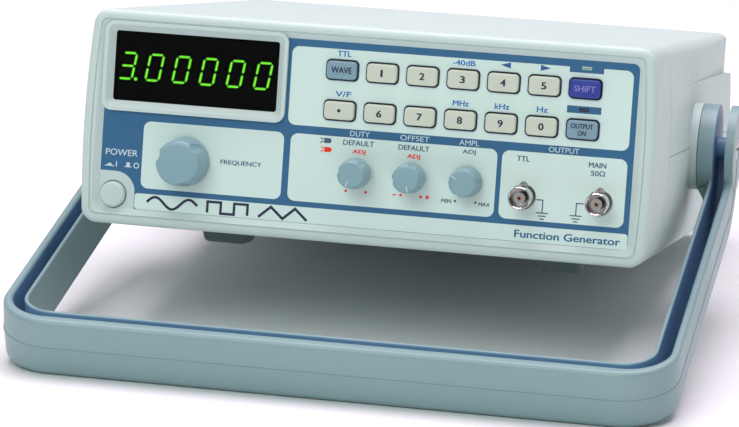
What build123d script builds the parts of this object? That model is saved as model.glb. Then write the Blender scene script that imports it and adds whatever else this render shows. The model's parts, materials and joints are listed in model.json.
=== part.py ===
"""Bench function generator standing on its tilted carrying handle.

Every piece is drawn with the instrument level: X to the right, Y to the rear from the face of the
front panel, Z up from the underside of the case. At the end all pieces are turned together into the
working stance, propped up at the front by the handle, with the origin on the bench below the middle.
Millimetres throughout.
"""
from build123d import *
from math import atan2, cos, degrees, radians, sin
import os

# ---- case ------------------------------------------------------------------------------------
body_height = 94.0
body_depth = 291.0
half_bottom = 124.4         # half width at the underside
half_top = 123.4            # half width at the top
half_mid_front = 126.0      # half width of the barrel-shaped sides at the front rim
half_mid_rear = 127.0       # the same from the bezel seam to the rear
corner_radius = 7.0
wall = 2.5
parting_z = 45.7            # height of the joint between the case halves, and of the handle pivot
seam_y = 45.0               # depth of the joint between bezel and case
seam_gap = 0.6
ledge_z = 74.5              # height of the step along the upper sides
ledge_start_y = 75.0
ledge_step = 1.0            # how far the upper sides lie back where the ledge starts
ledge_depth = 4.0           # how much further they lie back at the rear
step_drop = 3.0             # how far the inside steps in below the ledge
rear_edge = 1.5             # rounding of the rear edges
rear_groove = 1.0           # depth of the groove that holds the rear panel
half_inside = 125.8         # half width that the inside is drawn from
upper_inside = 119.6        # half width of the inside above the ledge

# ---- front panel -----------------------------------------------------------------------------
rim_y = -2.0                # front of the raised rim
label_thickness = 0.4
panel_back = 3.2            # rear of the bezel's front wall
label_half_width = 117.2
label_low, label_high = 7.2, 87.1
slope, slope_up = 3.0, 2.7   # width of the slope from the rim to the label, at its sides and ends
label_corner, recess_corner = 3.0, 5.0
rim_rounding = 2.8
lip_length, lip_thickness, lip_gap = 5.0, 1.6, 0.15
lip_bite = 0.5              # how far the lip's root sinks into the bezel's wall
window_left, window_right = -113.8, -40.4
window_low, window_high = 54.4, 84.9
window_y = 1.0
pane_thickness = 2.0
pane_lap, pane_gap = 1.4, 0.1
window_slope = 2.8          # width of the window's sloping sides
window_frame = 4.4          # width of the frame round the display window
frame_corner = 4.5
board_y = 14.0              # front face of the control board
board_thickness = 1.6
digit_pitch, digit_block, module_front = 12.2, 19.0, 4.2
board_width, board_height, board_z = 230.0, 82.0, 49.0

key_columns = [-11.8 + 17.7 * column for column in range(7)]
key_rows = [74.9, 57.4]
key_names = [
    ["wave_key", "key_1", "key_2", "key_3", "key_4", "key_5", "shift_key"],
    ["point_key", "key_6", "key_7", "key_8", "key_9", "key_0", "output_key"],
]
key_width, key_height = 13.2, 7.8
key_gap = 0.4
key_proud = 2.6             # how far a key stands out of the label
key_play = 0.3              # gap between a key's flange and the panel's back
key_flange_x, key_flange_z, key_flange = 1.2, 1.0, 1.2
stem_radius, stem_end = 1.8, 7.6
switch_side, switch_height = 6.0, 3.4
plunger_radius, plunger_height = 1.7, 1.7
lamp_width, lamp_height, lamp_gap = 3.8, 1.0, 0.2
lamp_rises = (8.6, 8.4)     # from the last key of each row up to its lamp
groove_inset, groove_width, groove_depth = 3.9, 0.6, 0.5
board_bosses = [(-30, 82), (-30, 47), (108, 82), (108, 47), (-92, 46)]

frequency_x, frequency_z = -79.0, 29.9
pot_z = 31.2
duty_x, offset_x, ampl_x = -2.1, 21.9, 45.9
shaft_radius, bushing_radius = 3.0, 3.6
shaft_gap = 1.0             # clearance of a shaft in the panel
fit_clearance = 0.05
pull_travel = 4.0
bushing_front = 8.0
neck_radius = 2.0
slider_size, slider_length = 8.0, 3.0

ttl_x, main_x, jack_z = 70.8, 104.0, 26.7
jack_hole = 5.5             # radius of the label's hole round each socket
jack_notch = 1.7            # radius of the keyway above each socket
notch_rise = 4.8            # from the socket's middle up to the keyway's
jack_barrel = 4.83
jack_bore = 4.1
jack_length = 12.0          # from the label's face to the socket's mouth
jack_body = 14.5            # side of the square body on the board
lug_radius, lug_tip = 1.0, 5.5
lug_y = -7.4
insulator_radius, insulator_length = 2.45, 10.6
contact_radius, contact_length = 1.05, 10.8
contact_bore, contact_bore_depth = 0.68, 6.0

power_x, power_z = -110.8, 13.1
power_radius = 5.7
power_pad_x, power_pad_z = -101.2, 23.3
pad_corner = 9.0

# ---- handle ----------------------------------------------------------------------------------
pivot_y = 140.0
boss_radius = 20.0
boss_face = 130.3           # distance of the pivot bosses' faces from the middle
boss_root = 118.0           # where the bosses and their bushes begin, inside the case
hub_face = 130.6            # inner face of the handle's hubs
handle_half_width = 147.2
strap_thickness = 11.2
strap_width = 26.0
strap_wall = 4.0            # outer wall of the channel
grip_wall = 7.2             # the same along the grip
inner_wall = 1.8
web = 2.2
crown = 0.4                 # how far the outer wall leans in from its middle to each rim
bead_width, bead_height = 1.0, 0.25
elbow_drop = 24.8           # from the pivot straight down to the elbow
elbow_radius = 22.0
grip_reach = 199.9          # from the elbow to the middle of the grip
grip_angle = 20.5           # slope of the arms below the case's own level
grip_corner = 25.0
rest_radius = 3.0           # rounding of the two edges that the instrument stands on
pin_radius = 3.0
pivot_head, pivot_sink = 5.4, 2.2
bush_radius = 6.0

# ---- feet ------------------------------------------------------------------------------------
foot_x = 77.0
front_foot_y, rear_foot_y = 82.0, 265.0
foot_width, foot_depth, foot_height = 25.0, 22.0, 11.5
foot_taper = 2.6            # how far each side leans in over the foot's height

# ---- inside ----------------------------------------------------------------------------------
rear_panel_y = 284.0
rear_panel_thickness = 2.0
inlet_x, inlet_z = -80.0, 47.0
post_x, front_post_y, rear_post_y = 98.0, 62.0, 272.0
post_radius = 4.5
main_board_left, main_board_right = -25.0, 115.0
main_board_front, main_board_rear = 80.0, 258.0
main_board_z = 12.0
transformer_x, transformer_y = -64.0, 222.0
switch_y = 182.0            # front of the mains switch at the end of the power rod
rod_half = 2.5
support_height = 5.5        # height of the ribs under the transformer and the mains switch
screw_radius, screw_head_radius, screw_head_height = 1.5, 3.0, 1.6
cross_length, cross_width, cross_depth = 3.4, 0.7, 0.9
screw_sink = 2.2            # depth of the recess for a case screw's head
case_screw_bite = 18.0      # how far the case screws reach above the joint
chassis_screw_length = 6.0
shank_gap, hole_gap, head_gap = 0.3, 0.2, 0.4
foot_peg = 4.0
standoff_radius, board_boss_radius = 3.5, 3.0
rib_width = 12.0
switch_length, switch_width, switch_top = 20.0, 10.0, 20.0
core_width, core_height, core_depth = 66.0, 55.0, 34.0
ear_reach, ear_thickness = 11.0, 2.0
vent_width, floor_vent, rear_vent = 3.5, 36.0, 26.0

pieces = {}


def finish(name, part):
    """Label a finished piece and keep it for the stance."""
    part.label = name
    pieces[name] = part


def across(y):
    """Plane across the instrument at depth y, facing the front: local x is X, local y is Z."""
    return Plane.XZ.offset(-y)


def sideways(x):
    """Plane along the instrument at X = x, facing right: local x is Y, local y is Z."""
    return Plane.YZ.offset(x)


def level(z):
    """Horizontal plane at height z."""
    return Plane.XY.offset(z)


def case_outline(half_mid, inset=0.0):
    """Cross-section of the case, with barrel sides, drawn inset from its outside."""
    with BuildSketch() as outline:
        with BuildLine():
            right = ThreePointArc((half_bottom, 0), (half_mid, parting_z), (half_top, body_height))
            left = ThreePointArc((-half_bottom, 0), (-half_mid, parting_z), (-half_top, body_height))
            Line(right @ 0, left @ 0)
            Line(right @ 1, left @ 1)
        make_face()
        fillet(outline.vertices(), corner_radius)
        if inset:
            offset(amount=-inset)
    return outline.sketch


def inside_outline(inset):
    """Cross-section of the hollow inside, which steps in behind the ledges of the upper sides."""
    with BuildSketch() as outline:
        add(case_outline(half_inside, inset=inset))
        step = ledge_z - step_drop - inset + wall
        with Locations((-half_mid_rear, step), (half_mid_rear, step)):
            width = 2 * (half_mid_rear - upper_inside + inset - wall)
            Rectangle(width, 2 * body_height, align=(Align.CENTER, Align.MIN), mode=Mode.SUBTRACT)
    return outline.sketch


# ==== case ====================================================================================

case_front = seam_y + seam_gap
post_places = [(x, y) for x in (-post_x, post_x) for y in (front_post_y, rear_post_y)]
foot_places = [(x, y) for x in (-foot_x, foot_x) for y in (front_foot_y, rear_foot_y)]


def case_shell():
    """The case as one hollow shell with its pivot bosses, before it is parted into two halves."""
    with BuildPart() as shell:
        with BuildSketch(across(case_front)):
            add(case_outline(half_mid_rear))
        extrude(amount=case_front - body_depth)
        fillet(shell.faces().sort_by(Axis.Y)[-1].edges(), rear_edge)
        with BuildSketch(level(ledge_z)):
            for side in (-1, 1):
                with BuildLine():
                    Polyline(
                        (side * (half_mid_rear - ledge_step), ledge_start_y),
                        (side * (half_mid_rear - ledge_step - ledge_depth), body_depth),
                        (side * (half_mid_rear + wall), body_depth),
                        (side * (half_mid_rear + wall), ledge_start_y),
                        close=True,
                    )
                make_face()
        extrude(amount=body_height - ledge_z, mode=Mode.SUBTRACT)
        with BuildSketch(across(case_front)):
            add(case_outline(half_inside, inset=wall))
        extrude(amount=case_front - ledge_start_y, mode=Mode.SUBTRACT)
        with BuildSketch(across(ledge_start_y)):
            add(inside_outline(wall))
        extrude(amount=ledge_start_y - body_depth, mode=Mode.SUBTRACT)
        for side in (-1, 1):
            with BuildSketch(sideways(side * boss_root)):
                with Locations((pivot_y, parting_z)):
                    Circle(boss_radius)
            extrude(amount=side * (boss_face - boss_root))
            with BuildSketch(sideways(side * boss_root)):
                with Locations((pivot_y, parting_z)):
                    Circle(bush_radius)
            extrude(amount=side * (boss_face - boss_root), mode=Mode.SUBTRACT)
        # groove that holds the edges of the rear panel
        with BuildSketch(across(rear_panel_y)):
            add(inside_outline(wall - rear_groove))
        extrude(amount=-rear_panel_thickness, mode=Mode.SUBTRACT)
    return shell.part


shell = case_shell()

with BuildPart() as top_cover:
    add(shell)
    split(bisect_by=level(parting_z), keep=Keep.TOP)
    # posts that the case screws pull down
    with BuildSketch(level(parting_z)):
        with Locations(*post_places):
            Circle(post_radius)
            Circle(screw_radius, mode=Mode.SUBTRACT)
    extrude(amount=body_height - parting_z - wall)
finish("top_cover", top_cover.part)

standoffs = [
    (x, y)
    for x in (main_board_left + 5, main_board_right - 5)
    for y in (main_board_front + 5, main_board_rear - 5)
]
transformer_feet = [(transformer_x + dx, transformer_y) for dx in (-38, 38)]

with BuildPart() as bottom_case:
    add(shell)
    split(bisect_by=level(parting_z), keep=Keep.BOTTOM)
    with BuildSketch(level(wall)):
        with Locations(*post_places):
            Circle(post_radius)
    extrude(amount=parting_z - wall)
    with BuildSketch(level(wall)):
        with Locations(*standoffs):
            Circle(standoff_radius)
            Circle(screw_radius, mode=Mode.SUBTRACT)
    extrude(amount=main_board_z - wall)
    with BuildSketch(level(wall)):
        with Locations(*transformer_feet):
            Rectangle(rib_width, core_depth)
            Circle(screw_radius, mode=Mode.SUBTRACT)
        with Locations((power_x, switch_y + switch_length / 2)):
            Rectangle(rib_width, switch_length)
    extrude(amount=support_height)
    # shanks and sunk heads of the case screws
    with BuildSketch(level(0)):
        with Locations(*post_places):
            Circle(screw_radius + shank_gap)
    extrude(amount=parting_z, mode=Mode.SUBTRACT)
    with BuildSketch(level(0)):
        with Locations(*post_places):
            Circle(screw_head_radius + head_gap)
        with Locations(*foot_places):
            Circle(foot_peg)
    extrude(amount=screw_sink, mode=Mode.SUBTRACT)
    # cooling slots under the main board
    with BuildSketch(level(0)):
        with Locations((45, 170)):
            with GridLocations(12, 44, 8, 2):
                SlotOverall(floor_vent, vent_width, rotation=90)
    extrude(amount=wall, mode=Mode.SUBTRACT)
finish("bottom_case", bottom_case.part)

key_places = [(x, z) for z in key_rows for x in key_columns]
knob_places = [(x, pot_z) for x in (duty_x, offset_x, ampl_x)]
jack_places = [(x, jack_z) for x in (ttl_x, main_x)]
window_x = (window_left + window_right) / 2
window_z = (window_low + window_high) / 2
window_width = window_right - window_left
window_height = window_high - window_low
label_z = (label_low + label_high) / 2
label_width, label_height = 2 * label_half_width, label_high - label_low
led_places = [(key_columns[6], z + rise) for z, rise in zip(key_rows, lamp_rises)]


def panel_sketch():
    """The face of the label: its outline less the window frame and the power button's pad."""
    with BuildSketch() as face:
        with Locations((0, label_z)):
            RectangleRounded(label_width, label_height, label_corner)
        with Locations((window_x, window_z)):
            frame = 2 * window_frame
            RectangleRounded(window_width + frame, window_height + frame, frame_corner, mode=Mode.SUBTRACT)
        with Locations((-label_half_width, label_low)):
            pad_width = 2 * (power_pad_x + label_half_width)
            pad_height = 2 * (power_pad_z - label_low)
            RectangleRounded(pad_width, pad_height, pad_corner, mode=Mode.SUBTRACT)
    return face.sketch


def control_holes(key_margin, shaft_margin):
    """Openings for the keys, shafts, jacks and indicator lamps."""
    with BuildSketch() as holes:
        with Locations(*key_places):
            RectangleRounded(key_width + 2 * key_margin, key_height + 2 * key_margin, 2.0)
        with Locations(*knob_places):
            Circle(shaft_radius + shaft_margin)
        with Locations((frequency_x, frequency_z)):
            Circle(shaft_radius + shaft_margin)
        with Locations(*jack_places):
            Circle(jack_hole)
        with Locations(*[(x, z + notch_rise) for x, z in jack_places]):
            Circle(jack_notch)
        with Locations(*led_places):
            Rectangle(lamp_width + 2 * lamp_gap, lamp_height + 2 * lamp_gap)
    return holes.sketch


with BuildPart() as front_bezel:
    with BuildSketch(across(seam_y)):
        add(case_outline(half_mid_rear))
    with BuildSketch(across(rim_y)):
        add(case_outline(half_mid_front))
    loft()
    fillet(front_bezel.faces().sort_by(Axis.Y)[0].edges(), rim_rounding)
    # hollow behind the front wall
    with BuildSketch(across(seam_y)):
        add(case_outline(half_mid_rear, inset=wall))
    with BuildSketch(across(panel_back)):
        add(case_outline(half_mid_front, inset=wall))
    loft(mode=Mode.SUBTRACT)
    # lip that centres the bezel in the case
    with BuildSketch(across(seam_y - lip_length)):
        add(case_outline(half_mid_front, inset=wall - lip_bite))
        add(case_outline(half_mid_front, inset=wall + lip_thickness), mode=Mode.SUBTRACT)
    extrude(amount=lip_bite - lip_length)
    with BuildSketch(across(seam_y - 2 * lip_bite)):
        add(case_outline(half_inside, inset=wall + lip_gap))
        add(case_outline(half_mid_front, inset=wall + lip_thickness), mode=Mode.SUBTRACT)
    extrude(amount=-(lip_length + 2 * lip_bite))
    # sloping recess for the label, with the window frame and the button's pad left standing
    with BuildSketch(across(rim_y)):
        with Locations((0, label_z)):
            RectangleRounded(label_width + 2 * slope, label_height + 2 * slope_up, recess_corner)
    with BuildSketch(across(0)):
        with Locations((0, label_z)):
            RectangleRounded(label_width, label_height, label_corner)
    loft(mode=Mode.SUBTRACT)
    with BuildSketch(across(0)):
        add(panel_sketch())
    extrude(amount=-label_thickness, mode=Mode.SUBTRACT)
    with BuildSketch(across(label_thickness)):
        with Locations((window_x, window_z)):
            frame = 2 * window_frame
            RectangleRounded(window_width + frame, window_height + frame, frame_corner)
    extrude(amount=label_thickness - rim_y)
    # fine groove along the rim
    with BuildSketch(across(rim_y)):
        add(case_outline(half_mid_front, inset=groove_inset))
        add(case_outline(half_mid_front, inset=groove_inset + groove_width), mode=Mode.SUBTRACT)
    extrude(amount=-groove_depth, mode=Mode.SUBTRACT)
    # display window with sloping sides, and the pocket for its pane
    with BuildSketch(across(rim_y)):
        with Locations((window_x, window_z)):
            RectangleRounded(window_width + 2 * window_slope, window_height + 2 * window_slope, 3)
    with BuildSketch(across(window_y)):
        with Locations((window_x, window_z)):
            RectangleRounded(window_width, window_height, 1.2)
    loft(mode=Mode.SUBTRACT)
    with BuildSketch(across(window_y)):
        with Locations((window_x, window_z)):
            pocket = 2 * (pane_lap + pane_gap)
            RectangleRounded(window_width + pocket, window_height + pocket, 2)
    extrude(amount=window_y - panel_back, mode=Mode.SUBTRACT)
    # openings for the controls
    with BuildSketch(across(rim_y)):
        add(control_holes(key_gap, shaft_gap))
        with Locations((power_x, power_z)):
            Circle(power_radius + key_gap)
    extrude(amount=rim_y - panel_back, mode=Mode.SUBTRACT)
    # bosses that carry the control board
    with BuildSketch(across(panel_back)):
        with Locations(*board_bosses):
            Circle(board_boss_radius)
            Circle(screw_radius, mode=Mode.SUBTRACT)
    extrude(amount=panel_back - board_y)
finish("front_bezel", front_bezel.part)

with BuildPart() as front_label:
    with BuildSketch(across(label_thickness)):
        add(panel_sketch())
        add(control_holes(key_gap, shaft_gap), mode=Mode.SUBTRACT)
    extrude(amount=label_thickness)
finish("front_label", front_label.part)


# pane of the display, behind the window
with BuildPart() as display_window:
    with BuildSketch(across(window_y + pane_thickness)):
        with Locations((window_x, window_z)):
            RectangleRounded(window_width + 2 * pane_lap, window_height + 2 * pane_lap, 1.9)
    extrude(amount=pane_thickness)
finish("display_window", display_window.part)

with BuildPart() as display_module:
    with BuildSketch(across(board_y)):
        with Locations((window_x, window_z)):
            with GridLocations(digit_pitch, 1, 6, 1):
                Rectangle(digit_pitch - 0.3, digit_block)
    extrude(amount=board_y - module_front)
finish("display_module", display_module.part)

with BuildPart() as front_board:
    with BuildSketch(across(board_y)):
        with Locations((0, board_z)):
            Rectangle(board_width, board_height)
        with Locations((-108, 18)):
            Rectangle(16, 22, mode=Mode.SUBTRACT)
        with Locations(*knob_places, (frequency_x, frequency_z)):
            Circle(bushing_radius + hole_gap, mode=Mode.SUBTRACT)
        with Locations(*board_bosses):
            Circle(screw_radius + hole_gap, mode=Mode.SUBTRACT)
        with Locations(*jack_places):
            Circle(contact_radius + 0.4, mode=Mode.SUBTRACT)
    extrude(amount=-board_thickness)
finish("front_board", front_board.part)
board_back = board_y + board_thickness

# push switches under the keys
with BuildPart() as key_switches:
    with BuildSketch(across(board_y)):
        with Locations(*key_places):
            Rectangle(switch_side, switch_side)
    extrude(amount=switch_height)
    with BuildSketch(across(board_y - switch_height)):
        with Locations(*key_places):
            Circle(plunger_radius)
    extrude(amount=plunger_height)
finish("key_switches", key_switches.part)

with BuildPart() as indicator_leds:
    with BuildSketch(across(board_y)):
        with Locations(*led_places):
            Rectangle(lamp_width, lamp_height)
    extrude(amount=board_y - 0.1)
finish("indicator_leds", indicator_leds.part)


def make_key(x, z):
    """Key cap with its retaining flange and stem."""
    with BuildPart() as key:
        flange_y = panel_back + key_play
        with BuildSketch(across(flange_y)):
            with Locations((x, z)):
                RectangleRounded(key_width, key_height, 1.8)
        extrude(amount=flange_y + key_proud)
        fillet(key.faces().sort_by(Axis.Y)[0].edges(), 0.7)
        with BuildSketch(across(flange_y)):
            with Locations((x, z)):
                Rectangle(key_width + 2 * key_flange_x, key_height + 2 * key_flange_z)
        extrude(amount=-key_flange)
        with BuildSketch(across(flange_y + key_flange)):
            with Locations((x, z)):
                Circle(stem_radius)
        extrude(amount=flange_y + key_flange - stem_end)
    return key.part


for row, z in enumerate(key_rows):
    for column, x in enumerate(key_columns):
        finish(key_names[row][column], make_key(x, z))


def make_knob(x, z, base_y, height, base_radius, lean, edge, flute_angles, shaft_depth, pointer=None):
    """Tapered knob with three finger flutes, a blind bore for its shaft and perhaps a pointer line."""
    front = base_y - height
    with BuildPart() as knob:
        with BuildSketch(across(base_y)):
            with Locations((x, z)):
                Circle(base_radius)
        extrude(amount=height, taper=lean)
        fillet(knob.faces().sort_by(Axis.Y)[0].edges(), edge)
        flute = base_radius * 0.45
        reach = base_radius * 1.24
        with BuildSketch(across(front)):
            for angle in flute_angles:
                with Locations((x + reach * cos(radians(angle)), z + reach * sin(radians(angle)))):
                    Circle(flute)
        extrude(amount=-height * 0.72, taper=8, mode=Mode.SUBTRACT)
        if pointer is not None:
            middle = base_radius * 0.72
            with BuildSketch(across(front)):
                place = (x + middle * cos(radians(pointer)), z + middle * sin(radians(pointer)))
                with Locations(place):
                    Rectangle(base_radius * 0.62, 0.8, rotation=pointer)
            extrude(amount=-0.5, mode=Mode.SUBTRACT)
        with BuildSketch(across(base_y)):
            with Locations((x, z)):
                Circle(shaft_radius)
        extrude(amount=shaft_depth, mode=Mode.SUBTRACT)
    return knob.part


def make_shaft(x, z, front, rear, neck_front=None):
    """Control shaft; with neck_front, its rear end is turned down to take a slider."""
    with BuildPart() as shaft:
        with BuildSketch(across(rear)):
            with Locations((x, z)):
                Circle(shaft_radius)
        extrude(amount=rear - front)
        if neck_front is not None:
            with BuildSketch(across(neck_front + slider_length + 0.4)):
                with Locations((x, z)):
                    Circle(shaft_radius)
                    Circle(neck_radius, mode=Mode.SUBTRACT)
            extrude(amount=slider_length + 0.4, mode=Mode.SUBTRACT)
    return shaft.part


def make_control(x, z, width, height, depth, cavity=None):
    """Potentiometer or encoder behind the board, with a bushing that reaches through it."""
    with BuildPart() as control:
        with BuildSketch(across(board_back)):
            with Locations((x, z)):
                Rectangle(width, height)
        extrude(amount=-depth)
        with BuildSketch(across(board_back)):
            with Locations((x, z)):
                Circle(bushing_radius)
        extrude(amount=board_back - bushing_front)
        with BuildSketch(across(bushing_front)):
            with Locations((x, z)):
                Circle(shaft_radius + fit_clearance)
        extrude(amount=bushing_front - (board_back + depth - 1.5), mode=Mode.SUBTRACT)
        if cavity:
            with BuildSketch(across(board_back + depth - 1.5)):
                with Locations((x, z)):
                    Rectangle(slider_size + 0.6, slider_size + 0.6)
            extrude(amount=cavity, mode=Mode.SUBTRACT)
    return control.part


def make_slider(x, z, front):
    """Carriage of a pull switch, carried by the neck of the shaft that turns in it."""
    with BuildPart() as slider:
        with BuildSketch(across(front)):
            with Locations((x, z)):
                Rectangle(slider_size, slider_size)
                Circle(neck_radius + fit_clearance, mode=Mode.SUBTRACT)
        extrude(amount=-slider_length)
    return slider.part


# frequency encoder
finish("encoder_body", make_control(frequency_x, frequency_z, 12.4, 13.2, 8.0))
finish("frequency_shaft", make_shaft(frequency_x, frequency_z, -11, 20))
finish("frequency_knob", make_knob(
    frequency_x, frequency_z, -1, 14, 10.8, 4, 2.0, (165, 45, 285), 10))

# amplitude potentiometer
finish("ampl_pot", make_control(ampl_x, pot_z, 11, 12, 10))
finish("ampl_shaft", make_shaft(ampl_x, pot_z, -9, 22))
finish("ampl_knob", make_knob(ampl_x, pot_z, -1, 11, 6.8, 4, 1.4, (5, 125, 245), 8, pointer=150))

# duty and offset potentiometers with pull switches, shown pulled out
switch_cavity = slider_length + pull_travel + 1.2
for name, x, flutes, pointer in (
    ("duty", duty_x, (50, 170, 290), 250),
    ("offset", offset_x, (70, 190, 310), 282),
):
    slider_front = board_back + 11.2
    finish(f"{name}_pot", make_control(x, pot_z, 11, 12, switch_cavity + 12.5, cavity=switch_cavity))
    finish(f"{name}_slider", make_slider(x, pot_z, slider_front + 0.2))
    finish(f"{name}_shaft", make_shaft(
        x, pot_z, -9 - pull_travel, slider_front + slider_length + 0.9, neck_front=slider_front))
    finish(f"{name}_knob", make_knob(
        x, pot_z, -1 - pull_travel, 11, 6.8, 4, 1.4, flutes, 8, pointer=pointer))


def make_jack(x):
    """Shell of a bayonet socket with its two lugs and the square body on the board."""
    with BuildPart() as jack:
        with BuildSketch(across(panel_back + 0.2)):
            with Locations((x, jack_z)):
                Circle(jack_barrel)
        extrude(amount=panel_back + 0.2 + jack_length)
        with BuildSketch(across(board_y)):
            with Locations((x, jack_z)):
                Rectangle(jack_body, jack_body)
        extrude(amount=board_y - panel_back - 0.2)
        with BuildSketch(across(-jack_length)):
            with Locations((x, jack_z)):
                Circle(jack_bore)
        extrude(amount=-(jack_length - 2), mode=Mode.SUBTRACT)
        with BuildSketch(across(-jack_length)):
            with Locations((x, jack_z)):
                Circle(insulator_radius)
        extrude(amount=-(jack_length + board_y), mode=Mode.SUBTRACT)
        chamfer(jack.edges().filter_by(GeomType.CIRCLE).group_by(Axis.Y)[0], 0.25)
        # bayonet lugs
        for angle in (100, 280):
            dx, dz = cos(radians(angle)), sin(radians(angle))
            root = jack_barrel - 0.4
            start = Plane((x + root * dx, lug_y, jack_z + root * dz), z_dir=(dx, 0, dz))
            with BuildSketch(start):
                Circle(lug_radius)
            extrude(amount=lug_tip - root)
    return jack.part


finish("ttl_jack", make_jack(ttl_x))
finish("main_jack", make_jack(main_x))

with BuildPart() as jack_insulators:
    with BuildSketch(across(board_y)):
        with Locations(*jack_places):
            Circle(insulator_radius)
            Circle(contact_radius, mode=Mode.SUBTRACT)
    extrude(amount=board_y + insulator_length)
finish("jack_insulators", jack_insulators.part)

with BuildPart() as jack_contacts:
    with BuildSketch(across(board_back + 1.5)):
        with Locations(*jack_places):
            Circle(contact_radius)
    extrude(amount=board_back + 1.5 + contact_length)
    with BuildSketch(across(-contact_length)):
        with Locations(*jack_places):
            Circle(contact_bore)
    extrude(amount=-contact_bore_depth, mode=Mode.SUBTRACT)
finish("jack_contacts", jack_contacts.part)

# ---- power button, its rod and the mains switch, shown latched in ----
with BuildPart() as power_button:
    with BuildSketch(across(6)):
        with Locations((power_x, power_z)):
            Circle(power_radius)
    extrude(amount=6 + 2.6)
    fillet(power_button.faces().sort_by(Axis.Y)[0].edges(), 1.6)
    with BuildSketch(across(9)):
        with Locations((power_x, power_z)):
            Circle(power_radius - 1.2)
    extrude(amount=3)
    with BuildSketch(across(9)):
        with Locations((power_x, power_z)):
            Rectangle(2 * rod_half, 2 * rod_half)
    extrude(amount=6, mode=Mode.SUBTRACT)
finish("power_button", power_button.part)

tongue = rod_half - 0.8
with BuildPart() as power_rod:
    with BuildSketch(across(switch_y - 6)):
        with Locations((power_x, power_z)):
            Rectangle(2 * rod_half, 2 * rod_half)
    extrude(amount=switch_y - 6 - 3)
    with BuildSketch(across(switch_y + 9)):
        with Locations((power_x, power_z)):
            Rectangle(2 * tongue, 2 * tongue)
    extrude(amount=15)
finish("power_rod", power_rod.part)

with BuildPart() as power_switch:
    low = wall + support_height
    with BuildSketch(across(switch_y)):
        with Locations((power_x, (low + switch_top) / 2)):
            Rectangle(switch_width, switch_top - low)
    extrude(amount=-switch_length)
    with BuildSketch(across(switch_y)):
        with Locations((power_x, power_z)):
            Rectangle(2 * tongue + 0.6, 2 * tongue + 0.6)
    extrude(amount=-14, mode=Mode.SUBTRACT)
finish("power_switch", power_switch.part)

# ---- main board and what stands on it ----
board_x = (main_board_left + main_board_right) / 2
board_mid_y = (main_board_front + main_board_rear) / 2
board_top = main_board_z + board_thickness
with BuildPart() as main_board:
    with BuildSketch(level(main_board_z)):
        with Locations((board_x, board_mid_y)):
            Rectangle(main_board_right - main_board_left, main_board_rear - main_board_front)
        with Locations(*standoffs):
            Circle(screw_radius + hole_gap, mode=Mode.SUBTRACT)
    extrude(amount=board_thickness)
finish("main_board", main_board.part)

with BuildPart() as capacitors:
    with BuildSketch(level(board_top)):
        with Locations(*[(-8 + 20 * index, 236) for index in range(3)]):
            Circle(8)
    extrude(amount=30)
    chamfer(capacitors.faces().filter_by(Axis.Z).sort_by(Axis.Z)[-3:].edges(), 1.0)
finish("capacitors", capacitors.part)

with BuildPart() as logic_chips:
    with BuildSketch(level(board_top)):
        with Locations((20, 130)):
            RectangleRounded(28, 28, 1)
        with Locations((62, 120), (62, 150)):
            RectangleRounded(14, 18, 0.6)
    extrude(amount=2.6)
finish("logic_chips", logic_chips.part)

with BuildPart() as output_heatsink:
    with BuildSketch(level(board_top)):
        with Locations((86, 214)):
            Rectangle(40, 4)
            with Locations((0, 9)):
                with GridLocations(6, 1, 7, 1):
                    Rectangle(1.8, 16)
    extrude(amount=40)
finish("output_heatsink", output_heatsink.part)

# ---- mains transformer ----
core_low = wall + support_height
with BuildPart() as transformer_core:
    with BuildSketch(across(transformer_y + core_depth / 2)):
        with Locations((transformer_x, core_low + core_height / 2)):
            Rectangle(core_width, core_height)
            with Locations((-16.5, 0), (16.5, 0)):
                Rectangle(11, 33, mode=Mode.SUBTRACT)
    extrude(amount=core_depth)
    # mounting ears
    with BuildSketch(level(core_low)):
        with Locations((transformer_x, transformer_y)):
            Rectangle(core_width + 2 * ear_reach, core_depth)
        with Locations(*transformer_feet):
            Circle(screw_radius + hole_gap, mode=Mode.SUBTRACT)
    extrude(amount=ear_thickness)
finish("transformer_core", transformer_core.part)

with BuildPart() as transformer_coil:
    with BuildSketch(level(core_low + core_height / 2)):
        with Locations((transformer_x, transformer_y)):
            RectangleRounded(43, core_depth + 20, 4)
            Rectangle(22, core_depth, mode=Mode.SUBTRACT)
    extrude(amount=16.2, both=True)
finish("transformer_coil", transformer_coil.part)

# ---- rear panel and mains inlet ----
inlet_screw = 20.0          # half the spacing of the inlet's screws
flange_depth, drawer_rise = 3.0, 9.5
with BuildPart() as rear_panel:
    with BuildSketch(across(rear_panel_y + 0.1)):
        add(inside_outline(wall - 0.8))
        with Locations((inlet_x, inlet_z)):
            Rectangle(27.4, 31.4, mode=Mode.SUBTRACT)
        with Locations((inlet_x - inlet_screw, inlet_z), (inlet_x + inlet_screw, inlet_z)):
            Circle(screw_radius + hole_gap, mode=Mode.SUBTRACT)
        with Locations((52, parting_z)):
            with GridLocations(9, 34, 11, 2):
                SlotOverall(rear_vent, vent_width, rotation=90, mode=Mode.SUBTRACT)
    extrude(amount=-(rear_panel_thickness - 0.2))
finish("rear_panel", rear_panel.part)

panel_face = rear_panel_y + rear_panel_thickness - 0.1
with BuildPart() as inlet_pins:
    with BuildSketch(across(panel_face - 30)):
        with Locations((inlet_x - 7, inlet_z - 5.5), (inlet_x + 7, inlet_z - 5.5)):
            Rectangle(2, 4)
        with Locations((inlet_x, inlet_z - 1.5)):
            Rectangle(2, 4)
    extrude(amount=-30)
finish("inlet_pins", inlet_pins.part)

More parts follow.
